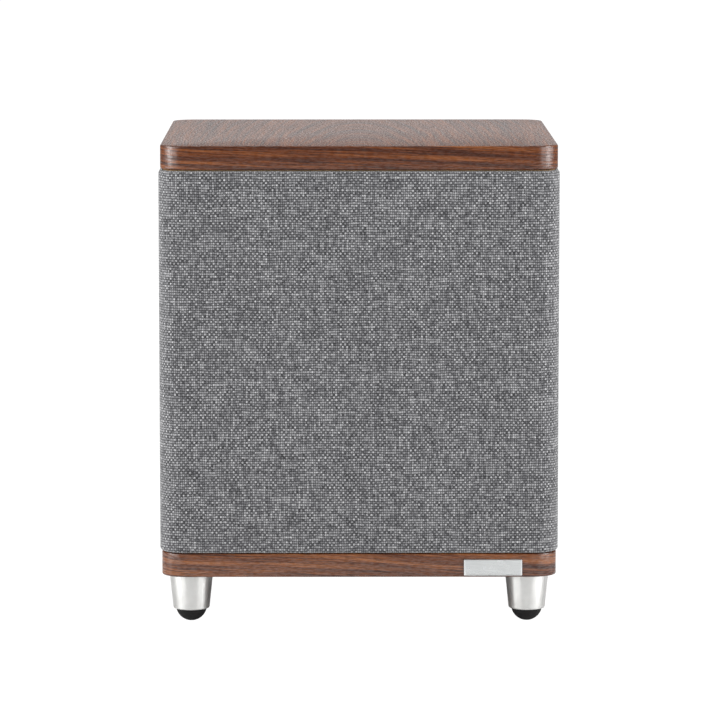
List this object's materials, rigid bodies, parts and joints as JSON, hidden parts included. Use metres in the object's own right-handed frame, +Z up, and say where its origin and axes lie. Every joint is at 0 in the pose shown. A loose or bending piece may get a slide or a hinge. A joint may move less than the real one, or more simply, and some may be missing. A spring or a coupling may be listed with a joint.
{
  "type": "subwoofer",
  "caption": "Active subwoofer: cloth-wrapped box between wooden plates on metal feet, with a floor-facing driver and a rear amplifier plate.",
  "frame": {"origin": "on the floor under the middle of the outer box, which reaches from the front cloth to the rear knobs", "axes": "+Z up from the floor, -Y out of the front face with the badge, +Y out of the rear with the amplifier plate, +X to the right seen from the front"},
  "size_m": [0.3028, 0.3168, 0.364],
  "materials": {
    "walnut": "satin walnut veneer",
    "fibreboard": "bare fibreboard",
    "cloth": "woven heathered grey",
    "wadding": "lofty polyester wadding",
    "satin_aluminium": "satin",
    "badge_metal": "brushed with a bright rim",
    "rubber": "matt",
    "steel": "machined",
    "black_steel": "satin black",
    "ferrite": "dull ceramic",
    "paper": "pulp paper",
    "spider_cloth": "resin-stiffened weave",
    "copper": "enamelled wire",
    "former": "amber film",
    "black_plastic": "moulded",
    "black_aluminium": "powder coat",
    "circuit_green": "solder mask",
    "gold": "plated",
    "red_lens": "clear red",
    "fuse_glass": "clear"
  },
  "bodies": {
    "cabinet": {"lid_panel": "walnut", "base_panel": "walnut", "front_panel": "fibreboard", "back_panel": "fibreboard", "left_panel": "fibreboard", "right_panel": "fibreboard", "cross_brace": "fibreboard", "wadding_pad": "wadding", "fabric_sleeve": "cloth", "badge": "badge_metal", "basket": "black_steel", "terminal_strip": "black_plastic", "driver_gasket": "rubber", "trim_ring": "rubber", "surround": "rubber", "spider": "spider_cloth", "top_plate": "steel", "magnet_ring": "ferrite", "pole_yoke": "steel", "amp_plate": "black_aluminium", "plate_gasket": "rubber", "circuit_board": "circuit_green", "transformer": "copper", "capacitor_a": "black_plastic", "capacitor_b": "black_plastic", "heatsink": "satin_aluminium", "volume_pot": "steel", "crossover_pot": "steel", "phase_switch": "steel", "jack_left": "gold", "jack_right": "gold", "status_led": "red_lens", "mains_inlet": "black_plastic", "power_switch": "black_plastic", "speaker_lead": "black_plastic", "foot_sleeve_front_left": "satin_aluminium", "foot_pad_front_left": "rubber", "foot_bolt_front_left": "steel", "foot_sleeve_front_right": "satin_aluminium", "foot_pad_front_right": "rubber", "foot_bolt_front_right": "steel", "foot_sleeve_rear_left": "satin_aluminium", "foot_pad_rear_left": "rubber", "foot_bolt_rear_left": "steel", "foot_sleeve_rear_right": "satin_aluminium", "foot_pad_rear_right": "rubber", "foot_bolt_rear_right": "steel"},
    "cone_assembly": {"cone": "paper", "dust_cap": "paper", "coil_former": "former", "voice_coil": "copper"},
    "volume_control": {"volume_knob": "black_plastic", "volume_spindle": "steel"},
    "crossover_control": {"crossover_knob": "black_plastic", "crossover_spindle": "steel"},
    "phase_control": {"phase_slider": "black_plastic"},
    "mains_rocker": {"power_rocker": "black_plastic"},
    "fuse_tray": {"fuse_drawer": "black_plastic", "fuse": "fuse_glass"}
  },
  "joints": [
    {"name": "cone_slide", "type": "slide", "parent": "cabinet", "child": "cone_assembly", "axis": [0, 0, 1], "range_m": [-0.007, 0.007], "stiffness_N_per_m": 2500, "deforming": ["surround", "spider"]},
    {"name": "volume_turn", "type": "hinge", "parent": "cabinet", "child": "volume_control", "pos_m": [0.04, 0.1475, 0.27], "axis": [0, 1, 0], "range_deg": [-150, 150]},
    {"name": "crossover_turn", "type": "hinge", "parent": "cabinet", "child": "crossover_control", "pos_m": [-0.04, 0.1475, 0.27], "axis": [0, 1, 0], "range_deg": [-150, 150]},
    {"name": "phase_slide", "type": "slide", "parent": "cabinet", "child": "phase_control", "axis": [-1, 0, 0], "range_m": [0, 0.004]},
    {"name": "rocker_tilt", "type": "hinge", "parent": "cabinet", "child": "mains_rocker", "pos_m": [-0.036, 0.146, 0.128], "axis": [1, 0, 0], "range_deg": [0, 16]},
    {"name": "fuse_drawer_slide", "type": "slide", "parent": "cabinet", "child": "fuse_tray", "axis": [0, 1, 0], "range_m": [0, 0.016]}
  ]
}
